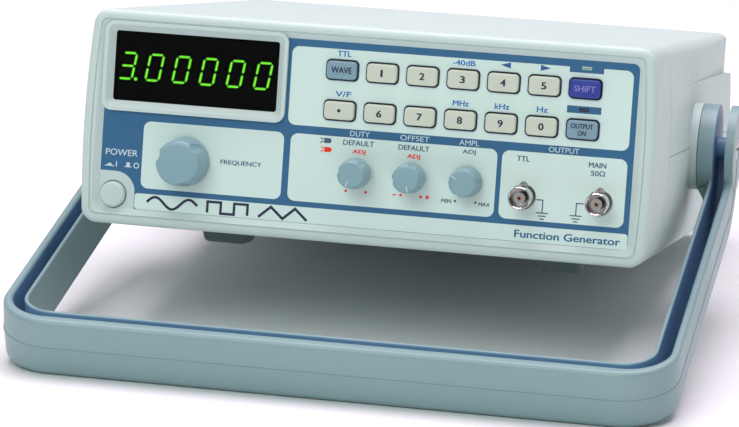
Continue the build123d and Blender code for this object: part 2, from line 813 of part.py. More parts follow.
with BuildPart() as mains_inlet:
    with BuildSketch(across(panel_face)):
        with Locations((inlet_x, inlet_z)):
            RectangleRounded(50, 34, 3)
            with Locations((-inlet_screw, 0), (inlet_screw, 0)):
                Circle(screw_radius + hole_gap, mode=Mode.SUBTRACT)
    extrude(amount=-flange_depth)
    with BuildSketch(across(panel_face)):
        with Locations((inlet_x, inlet_z)):
            Rectangle(27, 31)
    extrude(amount=24)
    fillet(mains_inlet.faces().sort_by(Axis.Y)[-1].outer_wire().edges(), 1.0)
    # socket with its two bevelled lower corners, and the fuse drawer's slot above it
    with BuildSketch(across(panel_face + flange_depth)):
        with Locations((inlet_x, inlet_z - 4.5)):
            socket = Rectangle(24.2, 16.6)
        chamfer(socket.vertices().group_by(Axis.Y)[0], 4.0)
    extrude(amount=17, mode=Mode.SUBTRACT)
    with BuildSketch(across(panel_face + flange_depth)):
        with Locations((inlet_x, inlet_z + drawer_rise)):
            Rectangle(22.4, 6.8)
    extrude(amount=21, mode=Mode.SUBTRACT)
    add(inlet_pins.part, mode=Mode.SUBTRACT)
finish("mains_inlet", mains_inlet.part)

drawer_depth = 19.0
with BuildPart() as fuse_drawer:
    with BuildSketch(across(panel_face + flange_depth)):
        with Locations((inlet_x, inlet_z + drawer_rise)):
            Rectangle(22, 6.4)
    extrude(amount=drawer_depth)
    with BuildSketch(across(panel_face + 4.4)):
        with Locations((inlet_x, inlet_z + drawer_rise)):
            RectangleRounded(22, 6.4, 0.8)
            SlotOverall(8, 1.6, mode=Mode.SUBTRACT)
    extrude(amount=1.4)
    # trough for the fuse
    with BuildSketch(level(inlet_z + drawer_rise + 3.2)):
        with Locations((inlet_x, panel_face - 8)):
            Rectangle(20.4, 5.6)
    extrude(amount=-5.2, mode=Mode.SUBTRACT)
finish("fuse_drawer", fuse_drawer.part)

# ---- feet ----


# tapered rubber blocks with rounded lower edges and pegs into the case
with BuildPart() as feet:
    for x, y in foot_places:
        with BuildSketch(level(0)):
            with Locations((x, y)):
                RectangleRounded(foot_width, foot_depth, 3)
        with BuildSketch(level(-foot_height)):
            with Locations((x, y)):
                RectangleRounded(foot_width - 2 * foot_taper, foot_depth - 2 * foot_taper, 3)
        loft()
    fillet(feet.faces().group_by(Axis.Z)[0].edges(), rest_radius)
    with BuildSketch(level(0)):
        with Locations(*foot_places):
            Circle(foot_peg)
    extrude(amount=screw_sink)
finish("feet", feet.part)

# ==== handle ==================================================================================

slope_down = radians(grip_angle)
strap_middle = handle_half_width - strap_thickness / 2
elbow = Vector(0, pivot_y, parting_z - elbow_drop)
reach = Vector(0, -cos(slope_down), -sin(slope_down))       # along the arms, from elbow to grip
open_side = Vector(0, -sin(slope_down), cos(slope_down))    # the way the channel opens
grip_middle = elbow + reach * grip_reach


def channel_section(outer_wall, rim_radius):
    """Section of the handle: local x points outwards and local y to the closed side."""
    outer, inner = strap_thickness / 2, -strap_thickness / 2
    half, lean = strap_width / 2, strap_thickness / 2 - crown
    groove_outer = outer - outer_wall
    groove_inner = inner + inner_wall
    floor = half - web
    with BuildSketch() as section:
        with BuildLine():
            Polyline(
                (lean, -half), (outer, -bead_width / 2), (outer + bead_height, -bead_width / 2),
                (outer + bead_height, bead_width / 2), (outer, bead_width / 2), (lean, half),
                (inner, half), (inner, -half), (groove_inner, -half), (groove_inner, floor),
                (groove_outer, floor), (groove_outer, -half),
                close=True,
            )
        make_face()
        fillet(section.vertices().group_by(Axis.Y)[0].sort_by(Axis.X)[-2:], rim_radius)
        fillet(section.vertices().group_by(Axis.Y)[0].sort_by(Axis.X)[:2], inner_wall * 0.45)
        fillet(section.vertices().group_by(Axis.Y)[-1].sort_by(Axis.X)[-1], rest_radius)
        fillet(section.vertices().group_by(Axis.Y)[-1].sort_by(Axis.X)[0], 2.0)
    return section.sketch


bend_radius = grip_corner - strap_thickness / 2
corner_end = strap_middle - bend_radius
corner_start = grip_middle - reach * bend_radius + Vector(strap_middle, 0, 0)
arm_line = FilletPolyline(
    (strap_middle, pivot_y, parting_z),
    (strap_middle, elbow.Y, elbow.Z),
    corner_start,
    radius=elbow_radius,
)
corner_arc = TangentArc(corner_start, grip_middle + Vector(corner_end, 0, 0), tangent=reach)

with BuildPart() as arm:
    with BuildSketch(Plane(arm_line @ 0, x_dir=(1, 0, 0), z_dir=(0, 0, -1))):
        add(channel_section(strap_wall, 1.7).mirror(Plane.XZ))
    sweep(path=arm_line)
    # corner, where the outer wall thickens towards the grip
    with BuildSketch(Plane(corner_arc @ 0, x_dir=(1, 0, 0), z_dir=corner_arc % 0)):
        add(channel_section(strap_wall, 1.7).mirror(Plane.XZ))
    with BuildSketch(Plane(corner_arc @ 1, x_dir=reach, z_dir=corner_arc % 1)):
        add(channel_section(grip_wall, 2.4).mirror(Plane.XZ))
    sweep(path=corner_arc, multisection=True)
    # hub: an outer disc, and an inner disc thick enough to reach the case's boss
    for low_x, high_x in (
        (hub_face, handle_half_width - strap_thickness + inner_wall),
        (handle_half_width - strap_wall, handle_half_width),
    ):
        with BuildSketch(sideways(low_x)):
            with Locations((pivot_y, parting_z)):
                Circle(boss_radius)
        extrude(amount=high_x - low_x)
    # tube between the two discs, round the pivot screw
    with BuildSketch(sideways(hub_face)):
        with Locations((pivot_y, parting_z)):
            Circle(pin_radius + 2)
    extrude(amount=handle_half_width - hub_face)
    # gusset from the inner disc down to the elbow
    with BuildSketch(across(pivot_y + 8)):
        with BuildLine():
            Polyline(
                (hub_face, parting_z - 12), (hub_face + 6, parting_z - 12),
                (hub_face + 6, elbow.Z - 4), (hub_face, parting_z - 19),
                close=True,
            )
        make_face()
    extrude(amount=16)
    # bore and sunk seat of the pivot screw
    with BuildSketch(sideways(hub_face)):
        with Locations((pivot_y, parting_z)):
            Circle(pin_radius + fit_clearance)
    extrude(amount=20, mode=Mode.SUBTRACT)
    with BuildSketch(sideways(handle_half_width + 1)):
        with Locations((pivot_y, parting_z)):
            Circle(pivot_head + head_gap)
    extrude(amount=-(1 + pivot_sink), mode=Mode.SUBTRACT)

with BuildPart() as handle:
    add(arm.part)
    mirror(arm.part, about=Plane.YZ)
    grip_plane = Plane(grip_middle, x_dir=reach, z_dir=(1, 0, 0))
    with BuildSketch(grip_plane):
        add(channel_section(grip_wall, 2.4))
    extrude(amount=corner_end, both=True)
finish("handle", handle.part)

with BuildPart() as pivot_bushes:
    for side in (-1, 1):
        with BuildSketch(sideways(side * boss_root)):
            with Locations((pivot_y, parting_z)):
                Circle(bush_radius)
                Circle(pin_radius, mode=Mode.SUBTRACT)
        extrude(amount=side * (boss_face - boss_root))
finish("pivot_bushes", pivot_bushes.part)

with BuildPart() as pivot_screws:
    for side in (-1, 1):
        with BuildSketch(sideways(side * boss_root)):
            with Locations((pivot_y, parting_z)):
                Circle(pin_radius)
        extrude(amount=side * (handle_half_width - boss_root - pivot_sink + 0.3))
        with BuildSketch(sideways(side * (handle_half_width - pivot_sink + 0.3))):
            with Locations((pivot_y, parting_z)):
                Circle(pivot_head)
                SlotOverall(2 * pivot_head - 2, 1.2, mode=Mode.SUBTRACT)
        extrude(amount=side * 1.6)
finish("pivot_screws", pivot_screws.part)

# ==== screws ==================================================================================


def screw(length):
    """Cross-head screw pointing up +Z from its head, with its head's underside at the origin."""
    with BuildPart() as body:
        with BuildSketch(level(0)):
            Circle(screw_radius)
        extrude(amount=length)
        with BuildSketch(level(0)):
            Circle(screw_head_radius)
        extrude(amount=-screw_head_height)
        with BuildSketch(level(-screw_head_height)):
            Rectangle(cross_length, cross_width)
            Rectangle(cross_width, cross_length)
        extrude(amount=cross_depth, mode=Mode.SUBTRACT)
    return body.part


with BuildPart() as case_screws:
    with Locations(*[(x, y, screw_sink) for x, y in post_places]):
        add(screw(parting_z + case_screw_bite - screw_sink))
finish("case_screws", case_screws.part)

with BuildPart() as chassis_screws:
    with Locations(*[(x, y, board_top) for x, y in standoffs]):
        add(screw(chassis_screw_length), rotation=(180, 0, 0))
    with Locations(*[(x, y, core_low + ear_thickness) for x, y in transformer_feet]):
        add(screw(chassis_screw_length), rotation=(180, 0, 0))
    with Locations(*[(x, board_back, z) for x, z in board_bosses]):
        add(screw(chassis_screw_length), rotation=(90, 0, 0))
finish("chassis_screws", chassis_screws.part)

# ==== stance ==================================================================================

# The instrument stands on the rounded lower edge of the grip and on the rounded heels of its rear
# feet. The two roundings have one radius, so the slope between their centres is the stance.
lean_angle = atan2(crown, (strap_width - bead_width) / 2)
grip_inset = crown + rest_radius * (1 - sin(lean_angle)) / cos(lean_angle)
grip_edge = (
    elbow + reach * (grip_reach + strap_thickness / 2 - grip_inset)
    - open_side * (strap_width / 2 - rest_radius)
)
heel_angle = atan2(foot_taper, foot_height)
heel_y = rear_foot_y + foot_depth / 2 - foot_taper
heel_y -= rest_radius * (1 - sin(heel_angle)) / cos(heel_angle)
heel_z = rest_radius - foot_height
stance_tilt = degrees(atan2(heel_z - grip_edge.Z, heel_y - grip_edge.Y))

tilted = Compound(children=[part.moved(Rot(-stance_tilt, 0, 0)) for part in pieces.values()])
extent = tilted.bounding_box()
stance = Pos(0, -extent.center().Y, -extent.min.Z) * Rot(-stance_tilt, 0, 0)

os.makedirs("parts", exist_ok=True)
for name, part in pieces.items():
    placed = part.moved(stance)
    placed.label = name
    export_step(placed, f"parts/{name}.step")
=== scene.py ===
"""Looks of the bench function generator: materials, printed panel, display, floor, light and camera."""

import json
from math import atan2, cos, pi, radians, sin

import bmesh
import bpy
from mathutils import Matrix, Vector


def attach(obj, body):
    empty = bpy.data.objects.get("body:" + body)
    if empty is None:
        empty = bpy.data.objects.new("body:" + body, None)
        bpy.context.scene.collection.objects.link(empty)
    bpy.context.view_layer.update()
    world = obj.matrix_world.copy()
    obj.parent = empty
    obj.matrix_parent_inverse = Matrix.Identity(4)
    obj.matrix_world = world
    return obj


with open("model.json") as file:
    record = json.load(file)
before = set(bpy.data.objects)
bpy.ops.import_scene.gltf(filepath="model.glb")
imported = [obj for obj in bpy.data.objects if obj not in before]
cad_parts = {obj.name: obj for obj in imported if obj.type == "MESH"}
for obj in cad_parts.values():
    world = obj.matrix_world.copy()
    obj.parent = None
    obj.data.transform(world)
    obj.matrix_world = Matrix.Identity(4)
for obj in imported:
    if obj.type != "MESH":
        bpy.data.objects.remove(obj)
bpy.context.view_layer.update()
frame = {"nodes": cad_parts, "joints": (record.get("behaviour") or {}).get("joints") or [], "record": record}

# ---- the instrument's own level frame: millimetres, X right, Y from the label to the rear, Z up --------

joints = {joint["name"]: joint for joint in frame["joints"]}
inward = joints["key_1_press"]["axis"]
tilt = atan2(-inward[2], inward[1])
pivot_y, pivot_z = 140.0, 45.7
pivot_level = Vector((0, pivot_y, pivot_z))
level_to_row = (
    Matrix.Translation(Vector(joints["handle_turn"]["pos_m"]))
    @ Matrix.Rotation(-tilt, 4, "X")
    @ Matrix.Scale(0.001, 4)
    @ Matrix.Translation(-pivot_level)
)
# drawing plane: x to the right, y up, z out of the panel towards the user
panel_to_level = Matrix(((1, 0, 0, 0), (0, 0, -1, 0), (0, 1, 0, 0), (0, 0, 0, 1)))

key_columns = [-11.8 + 17.7 * column for column in range(7)]
key_rows = [74.9, 57.4]
key_names = [
    ["wave_key", "key_1", "key_2", "key_3", "key_4", "key_5", "shift_key"],
    ["point_key", "key_6", "key_7", "key_8", "key_9", "key_0", "output_key"],
]
key_size = (13.2, 7.8)
key_front = 2.6
window = (-113.8, -40.4, 54.4, 84.9)
knobs = {"duty": (-2.1, 16.0, 250), "offset": (21.9, 16.0, 282), "ampl": (45.9, 12.0, 150)}
knob_z = 31.2
frequency_place = (-79.0, 29.9)
jacks = (70.8, 104.0)
jack_z = 26.7
lamp_places = [(94.4, 83.5), (94.4, 65.8)]

# ---- materials ----------------------------------------------------------------------------------


def linear(red, green, blue):
    """Linear colour from 0-255 display values."""
    out = []
    for value in (red, green, blue):
        share = value / 255
        out.append(share / 12.92 if share <= 0.04045 else ((share + 0.055) / 1.055) ** 2.4)
    return (*out, 1.0)


def node(tree, kind, **inputs):
    made = tree.nodes.new(kind)
    for key, value in inputs.items():
        made.inputs[key.replace("_", " ")].default_value = value
    return made


def start_material(name):
    material = bpy.data.materials.new(name)
    material.use_nodes = True
    tree = material.node_tree
    shader = tree.nodes["Principled BSDF"]
    where = tree.nodes.new("ShaderNodeTexCoord")
    return material, tree, shader, where.outputs["Object"]


def noise(tree, place, scale, detail=3.0, roughness=0.5):
    made = node(tree, "ShaderNodeTexNoise", Scale=scale, Detail=detail, Roughness=roughness)
    tree.links.new(place, made.inputs["Vector"])
    return made.outputs["Fac"]


def spread(tree, source, low, high):
    made = node(tree, "ShaderNodeMapRange")
    made.inputs["From Min"].default_value = 0.3
    made.inputs["From Max"].default_value = 0.7
    made.inputs["To Min"].default_value = low
    made.inputs["To Max"].default_value = high
    tree.links.new(source, made.inputs["Value"])
    return made.outputs["Result"]


def mix(tree, factor, one, other):
    """Colour between one and other; each is a colour or a socket."""
    made = tree.nodes.new("ShaderNodeMix")
    made.data_type = "RGBA"
    for socket, value in ((made.inputs[0], factor), (made.inputs[6], one), (made.inputs[7], other)):
        if isinstance(value, bpy.types.NodeSocket):
            tree.links.new(value, socket)
        else:
            socket.default_value = value
    return made.outputs[2]


def bump(tree, shader, height, strength, distance):
    made = node(tree, "ShaderNodeBump", Strength=strength, Distance=distance)
    tree.links.new(height, made.inputs["Height"])
    tree.links.new(made.outputs["Normal"], shader.inputs["Normal"])


def shade(colour, factor):
    return (colour[0] * factor, colour[1] * factor, colour[2] * factor, 1.0)


def moulded(name, colour, rough=0.45, grain=2600.0, depth=0.00004, strength=0.25, vary=0.05, coat=0.0):
    """Moulded or printed plastic: a slight drift of colour, fine grain in the surface, uneven gloss."""
    material, tree, shader, place = start_material(name)
    drift = noise(tree, place, 14.0, 4.0)
    fine = noise(tree, place, grain * 0.35, 2.0)
    base = mix(tree, drift, shade(colour, 1 - vary), shade(colour, 1 + vary))
    speck = mix(tree, spread(tree, fine, 0.0, 0.35), base, shade(colour, 1 - vary * 1.6))
    tree.links.new(speck, shader.inputs["Base Color"])
    gloss = spread(tree, noise(tree, place, 90.0, 3.0), rough - 0.05, rough + 0.07)
    tree.links.new(gloss, shader.inputs["Roughness"])
    shader.inputs["Coat Weight"].default_value = coat
    shader.inputs["Coat Roughness"].default_value = 0.2
    bump(tree, shader, noise(tree, place, grain, 2.0), strength, depth)
    return material


def metal(name, colour, rough=0.22, grain=900.0, stretch=(1, 1, 1), depth=0.00001):
    """Turned, plated or brushed metal: fine marks along one direction and stains in the gloss."""
    material, tree, shader, place = start_material(name)
    shader.inputs["Metallic"].default_value = 1.0
    scaled = tree.nodes.new("ShaderNodeMapping")
    scaled.inputs["Scale"].default_value = stretch
    tree.links.new(place, scaled.inputs["Vector"])
    marks = noise(tree, scaled.outputs["Vector"], grain, 3.0)
    stains = noise(tree, place, 160.0, 4.0)
    tree.links.new(mix(tree, stains, shade(colour, 0.86), shade(colour, 1.08)), shader.inputs["Base Color"])
    tree.links.new(spread(tree, marks, rough * 0.75, rough * 1.35), shader.inputs["Roughness"])
    bump(tree, shader, marks, 0.2, depth)
    return material


def printed(name, colour, rough=0.42, vary=0.03):
    """Screen-printed ink."""
    return moulded(name, colour, rough=rough, grain=3800.0, depth=0.00001, strength=0.15, vary=vary)


case_colour = linear(192, 211, 206)
library = {
    "case_plastic": moulded("case_plastic_grained", case_colour, 0.5, 2400, 0.00005, 0.3, 0.02),
    "label_film": printed("label_blue_ground", linear(36, 98, 138)),
    "display_body": moulded("display_black", linear(2, 2, 2), 0.9),
    "switch_plastic": moulded("switch_black", linear(34, 35, 37), 0.5),
    "lamp": moulded("lamp_unlit_lens", linear(44, 48, 66), 0.55, 800),
    "key_cream": moulded("key_cream_satin", linear(198, 208, 190), 0.4, 3000, 0.00002, 0.2, 0.02, 0.15),
    "key_slate": moulded("key_slate_satin", linear(122, 156, 170), 0.42, 3000, 0.00002, 0.2, 0.04, 0.15),
    "key_blue": moulded("key_blue_satin", linear(32, 54, 146), 0.42, 3000, 0.00002, 0.2, 0.05, 0.15),
    "knob_plastic": moulded("knob_blue_grey", linear(128, 164, 172), 0.38, 2600, 0.00003, 0.25, 0.03, 0.1),
    "button_plastic": moulded("button_pale", linear(190, 210, 206), 0.38, 2600, 0.00002, 0.2, 0.02, 0.1),
    "rod_plastic": moulded("rod_white", linear(214, 214, 208), 0.45),
    "shaft_steel": metal("shaft_turned", (0.58, 0.58, 0.58, 1), 0.3, 1500, (0.15, 1, 0.15)),
    "nickel": metal("jack_nickel", (0.74, 0.71, 0.68, 1), 0.14, 400, (1, 0.2, 1), 0.000001),
    "insulator": moulded("jack_insulator_grey", linear(150, 152, 152), 0.5),
    "contact": metal("contact_copper", (0.78, 0.42, 0.26, 1), 0.25, 1600),
    "inlet_plastic": moulded("inlet_black", linear(26, 27, 28), 0.42),
    "capacitor_sleeve": moulded("capacitor_sleeve", linear(24, 30, 72), 0.28, 500, vary=0.08),
    "heatsink": metal("heatsink_extruded", (0.56, 0.57, 0.59, 1), 0.38, 1400, (1, 0.1, 1)),
    "core_steel": metal("core_laminated", (0.24, 0.24, 0.25, 1), 0.45, 2600, (0.02, 1, 0.02), 0.00006),
    "coil_tape": moulded("coil_tape_yellow", linear(214, 188, 90), 0.3, 300, vary=0.06, coat=0.3),
    "rear_paint": moulded("rear_powder_coat", linear(196, 203, 202), 0.5, 1500, 0.00008, 0.4, 0.03),
    "foot_rubber": moulded("foot_rubber_grained", linear(92, 107, 107), 0.62, 1800, 0.00006, 0.4, 0.08),
    "screw_steel": metal("screw_zinc", (0.52, 0.52, 0.5, 1), 0.3, 1100),
    "bush_brass": metal("bush_brass", (0.66, 0.5, 0.24, 1), 0.28, 1300, (0.2, 1, 1)),
}
# the display is almost without gloss behind its window
library["display_body"].node_tree.nodes["Principled BSDF"].inputs["Specular IOR Level"].default_value = 0.05


def board_material():
    """Green solder resist over faint traces."""
    material, tree, shader, place = start_material("board_green_traces")
    shift = tree.nodes.new("ShaderNodeMapping")
    shift.inputs["Rotation"].default_value = (-tilt, 0, 0)
    tree.links.new(place, shift.inputs["Vector"])
    traces = tree.nodes.new("ShaderNodeTexBrick")
    traces.offset = 0.5
    for key, value in (("Scale", 60.0), ("Mortar Size", 0.09), ("Brick Width", 0.9), ("Row Height", 0.22)):
        traces.inputs[key].default_value = value
    traces.inputs["Color1"].default_value = linear(26, 98, 62)
    traces.inputs["Color2"].default_value = linear(30, 106, 66)
    traces.inputs["Mortar"].default_value = linear(54, 138, 88)
    tree.links.new(shift.outputs["Vector"], traces.inputs["Vector"])
    tree.links.new(traces.outputs["Color"], shader.inputs["Base Color"])
    tree.links.new(spread(tree, noise(tree, place, 200.0), 0.25, 0.4), shader.inputs["Roughness"])
    bump(tree, shader, traces.outputs["Fac"], 0.3, 0.00003)
    return material


def pane_material():
    """Smoked acrylic of the display window."""
    material, tree, shader, place = start_material("pane_smoked_acrylic")
    wipe = noise(tree, place, 30.0, 3.0)
    tree.links.new(mix(tree, wipe, (0.5, 0.54, 0.5, 1), (0.56, 0.6, 0.56, 1)), shader.inputs["Base Color"])
    tree.links.new(spread(tree, noise(tree, place, 120.0), 0.03, 0.08), shader.inputs["Roughness"])
    shader.inputs["Transmission Weight"].default_value = 1.0
    shader.inputs["IOR"].default_value = 1.2
    shader.inputs["Specular IOR Level"].default_value = 0.15
    return material


handle_half = 0.1472
corner = 0.025              # outer radius of the handle's corners
strap = 0.0112
grip_angle = radians(20.5)
reach_way = Vector((0, -cos(grip_angle), -sin(grip_angle)))
open_way = Vector((0, -sin(grip_angle), cos(grip_angle)))
elbow_drop = 24.8           # from the pivot down to the elbow of the handle's arms
grip_reach = 199.9          # from the elbow to the grip
elbow_level = Vector((0, pivot_y, pivot_z - elbow_drop))
grip_level = elbow_level + grip_reach * reach_way
bend_y, bend_rise = -22.0, 22.0
bend_level = elbow_level + Vector((0, bend_y, (bend_rise - bend_y * open_way.y) / open_way.z))
bend_radius = 0.0335        # outer radius of the arms' bend
front_wall, side_wall = 0.0070, 0.0038      # walls of the channel along the grip and along the arms
channel_deep = 0.0096
channel_reach = 0.0115      # how far the channel runs below the arms and behind the elbow


def handle_material():
    """Blue-grey handle with a bluer, darker channel than its outer skin: painted shade in the channel."""
    material, tree, shader, place = start_material("handle_blue_grey")
    turn = level_to_row.to_3x3().normalized()

    def maths(operation, first, second=0.0):
        made = tree.nodes.new("ShaderNodeMath")
        made.operation = operation
        for socket, value in zip(made.inputs, (first, second)):
            if isinstance(value, bpy.types.NodeSocket):
                tree.links.new(value, socket)
            else:
                socket.default_value = value
        return made.outputs[0]

    def along(way, origin):
        """Distance from origin along way, both given in the level frame."""
        made = tree.nodes.new("ShaderNodeVectorMath")
        made.operation = "DOT_PRODUCT"
        tree.links.new(place, made.inputs[0])
        direction = turn @ way
        made.inputs[1].default_value = direction
        return maths("SUBTRACT", made.outputs["Value"], (level_to_row @ origin).dot(direction))

    parts = tree.nodes.new("ShaderNodeSeparateXYZ")
    tree.links.new(place, parts.inputs[0])
    from_side = maths("SUBTRACT", handle_half, maths("ABSOLUTE", parts.outputs["X"]))
    from_front = maths("SUBTRACT", strap / 2, along(reach_way, grip_level))
    round_side = maths("MAXIMUM", maths("SUBTRACT", corner, from_side), 0.0)
    round_front = maths("MAXIMUM", maths("SUBTRACT", corner, from_front), 0.0)
    square = maths("ADD", maths("MULTIPLY", round_side, round_side),
                   maths("MULTIPLY", round_front, round_front))
    depth = maths("SUBTRACT", corner, maths("SQRT", square))
    turned = maths("DIVIDE", maths("ARCTAN2", round_front, round_side), pi / 2)
    wall = maths("ADD", maths("MULTIPLY", turned, front_wall - side_wall), side_wall)
    up_y, up_z = along(Vector((0, 1, 0)), bend_level), along(Vector((0, 0, 1)), bend_level)
    bend_square = maths("ADD", maths("MULTIPLY", up_y, up_y), maths("MULTIPLY", up_z, up_z))
    on_bend = maths("MULTIPLY", maths("LESS_THAN", up_z, 0.0),
                    maths("LESS_THAN", along(reach_way, bend_level), 0.0))
    outside_bend = maths("MULTIPLY", on_bend, maths("GREATER_THAN", bend_square, bend_radius ** 2))
    # mask of the channel's inside, where the painted shade goes
    channel_shade_mask = maths("GREATER_THAN", depth, wall)
    for test in (
        maths("LESS_THAN", depth, channel_deep),
        maths("GREATER_THAN", along(open_way, elbow_level), -channel_reach),
        maths("LESS_THAN", along(Vector((0, 1, 0)), elbow_level), channel_reach),
        maths("SUBTRACT", 1.0, outside_bend),
    ):
        channel_shade_mask = maths("MULTIPLY", channel_shade_mask, test)
    # the bluer, darker colour of the channel is painted shade
    colour, channel_shade_colour = linear(129, 158, 160), linear(112, 152, 184)
    drift = noise(tree, place, 10.0, 4.0)
    skin = mix(tree, drift, shade(colour, 0.97), shade(colour, 1.03))
    painted_channel_shade = mix(tree, drift, shade(channel_shade_colour, 0.9), shade(channel_shade_colour, 1.1))
    tree.links.new(mix(tree, channel_shade_mask, skin, painted_channel_shade), shader.inputs["Base Color"])
    tree.links.new(spread(tree, noise(tree, place, 70.0), 0.36, 0.46), shader.inputs["Roughness"])
    bump(tree, shader, noise(tree, place, 2400.0, 2.0), 0.25, 0.00004)
    return material


def glowing(name, colour, strength):
    """Lit segment: slightly uneven glow."""
    material, tree, shader, place = start_material(name)
    patch = noise(tree, place, 900.0, 2.0)
    tint = mix(tree, patch, shade(colour, 0.85), shade(colour, 1.1))
    tree.links.new(tint, shader.inputs["Base Color"])
    tree.links.new(tint, shader.inputs["Emission Color"])
    shader.inputs["Emission Strength"].default_value = strength
    shader.inputs["Roughness"].default_value = 0.5
    return material


library["board"] = board_material()
library["window_pane"] = pane_material()
library["handle_plastic"] = handle_material()

for part in frame["record"]["subparts"]:
    for holder in frame["nodes"][part["node"]].material_slots:
        holder.material = library[part["material_slot"]]

mint = printed("label_mint", linear(208, 231, 223))
ink = {
    "white": printed("ink_white", linear(196, 218, 224)),
    "bright": printed("ink_bright_blue", linear(10, 112, 180)),
    "slate": printed("ink_slate_blue", linear(50, 94, 118)),
    "navy": printed("ink_navy", linear(22, 28, 66)),
    "royal": printed("ink_royal_blue", linear(34, 84, 156)),
    "red": printed("ink_red", linear(240, 44, 6)),
    "black": printed("ink_black", linear(4, 4, 6)),
    "ground": printed("ink_blue_ground", linear(36, 98, 138)),
    "pale": printed("ink_pale_violet", linear(132, 128, 196)),
    "seam": printed("seam_shadow", linear(96, 108, 110)),
    "pointer": printed("ink_pointer", linear(202, 220, 226)),
}

# ---- drawing helpers ----------------------------------------------------------------------------


def arc(centre, radius, start, end, steps=8):
    return [
        (
            centre[0] + radius * cos(radians(start + (end - start) * step / steps)),
            centre[1] + radius * sin(radians(start + (end - start) * step / steps)),
        )
        for step in range(steps + 1)
    ]


def rounded(left, right, low, high, radius):
    """Outline of a rectangle with round corners."""
    return (
        arc((right - radius, high - radius), radius, 90, 0)
        + arc((right - radius, low + radius), radius, 0, -90)
        + arc((left + radius, low + radius), radius, -90, -180)
        + arc((left + radius, high - radius), radius, 180, 90)
    )


def circle(centre, radius, steps=40):
    return arc(centre, radius, 0, 360 * (steps - 1) / steps, steps - 1)


def around(centre, size, radius):
    x, z = centre
    return rounded(x - size[0] / 2, x + size[0] / 2, z - size[1] / 2, z + size[1] / 2, radius)


def grown(size, by):
    return (size[0] + by, size[1] + by)


def stroke(points, width):
    """Closed outline of a line with square ends and mitred corners."""
    left, right = [], []
    count = len(points)
    for index, (x, z) in enumerate(points):
        before = Vector(points[max(index - 1, 0)])
        after = Vector(points[min(index + 1, count - 1)])
        here = Vector((x, z))
        way_in = (here - before).normalized() if index else (after - here).normalized()
        way_out = (after - here).normalized() if index < count - 1 else way_in
        side = Vector((-way_in.y - way_out.y, way_in.x + way_out.x)).normalized()
        reach = width / 2 / max(0.4, side.dot(Vector((-way_in.y, way_in.x))))
        left.append((x + side.x * reach, z + side.y * reach))
        right.append((x - side.x * reach, z - side.y * reach))
    return left + right[::-1]


def slab_mesh(outlines, front, back):
    """Mesh of a flat filled shape in the drawing plane, from back to front, in mm out of the panel."""
    data = bpy.data.curves.new("outline", "CURVE")
    data.dimensions = "2D"
    data.fill_mode = "BOTH"
    data.extrude = (front - back) / 2
    for outline in outlines:
        spline = data.splines.new("POLY")
        spline.points.add(len(outline) - 1)
        for point, (x, z) in zip(spline.points, outline):
            point.co = (x, z, 0, 1)
        spline.use_cyclic_u = True
    holder = bpy.data.objects.new("outline", data)
    bpy.context.scene.collection.objects.link(holder)
    mesh = bpy.data.meshes.new_from_object(holder)
    mesh.transform(Matrix.Translation((0, 0, (front + back) / 2)))
    bpy.data.objects.remove(holder)
    bpy.data.curves.remove(data)
    return mesh


def text_mesh(words, centre, width, height, front, back, bold=0.0):
    """Raised lettering that just fills width by height round its centre, thickened by shifted copies."""
    data = bpy.data.curves.new("words", "FONT")
    data.body = words
    data.size = 10
    data.extrude = 0.5
    data.resolution_u = 4
    holder = bpy.data.objects.new("words", data)
    bpy.context.scene.collection.objects.link(holder)
    mesh = bpy.data.meshes.new_from_object(holder)
    bpy.data.objects.remove(holder)
    bpy.data.curves.remove(data)
    xs = [vertex.co.x for vertex in mesh.vertices]
    ys = [vertex.co.y for vertex in mesh.vertices]
    middle = Vector(((min(xs) + max(xs)) / 2, (min(ys) + max(ys)) / 2, 0))
    wide = (width - 2 * bold) / (max(xs) - min(xs))
    tall = (height - bold) / (max(ys) - min(ys))
    size = Matrix.Diagonal((wide, tall, front - back, 1))
    mesh.transform(
        Matrix.Translation((centre[0], centre[1], (front + back) / 2)) @ size @ Matrix.Translation(-middle)
    )
    if not bold:
        return mesh
    joined = bmesh.new()
    for index, (dx, dz) in enumerate(((-1, -0.5), (0, 0.5), (1, -0.5), (0, -0.5))):
        copy = mesh.copy()
        copy.transform(Matrix.Translation((dx * bold, dz * bold, index * 0.003)))
        joined.from_mesh(copy)
        bpy.data.meshes.remove(copy)
    joined.to_mesh(mesh)
    joined.free()
    return mesh


def settle(mesh):
    """Joins the coincident edges of a drawn mesh."""
    edit = bmesh.new()
    edit.from_mesh(mesh)
    bmesh.ops.remove_doubles(edit, verts=edit.verts, dist=1e-5)
    bmesh.ops.recalc_face_normals(edit, faces=edit.faces)
    edit.to_mesh(mesh)
    edit.free()


def piece(name, meshes, material, body, to_level=panel_to_level):
    """One object from meshes drawn in mm, placed on the instrument and riding on body."""
    joined = bmesh.new()
    for mesh in meshes:
        settle(mesh)
        joined.from_mesh(mesh)
        bpy.data.meshes.remove(mesh)
    data = bpy.data.meshes.new(name)
    joined.to_mesh(data)
    joined.free()
    data.transform(level_to_row @ to_level)
    data.materials.append(material)
    made = bpy.data.objects.new(name, data)
    bpy.context.scene.collection.objects.link(made)
    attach(made, body)
    return made


def keyhole(x):
    """Round hole of a socket with the keyway at its top."""
    hole, notch, notch_rise = 5.55, 1.76, 4.8
    hole_turn, notch_turn = 17.6, 16.3      # where the two arcs meet, in degrees
    return (
        arc((x, jack_z), hole, 90 + hole_turn, 450 - hole_turn, 48)
        + arc((x, jack_z + notch_rise), notch, notch_turn, 180 - notch_turn, 10)
    )


# ---- printed panel ------------------------------------------------------------------------------

film = 0.05         # how far the printed panels stand out of the label
print_back = 0.03
print_front = 0.09
key_hole = grown(key_size, 0.8)
hole_round = 2.0
all_keys = [(x, z) for z in key_rows for x in key_columns]
upper = (-34.5, 114.7, 49.7, 83.9)
lower_high, lower_low = 46.1, 16.7
panel_round = 3.2
shaft_hole = 4.1

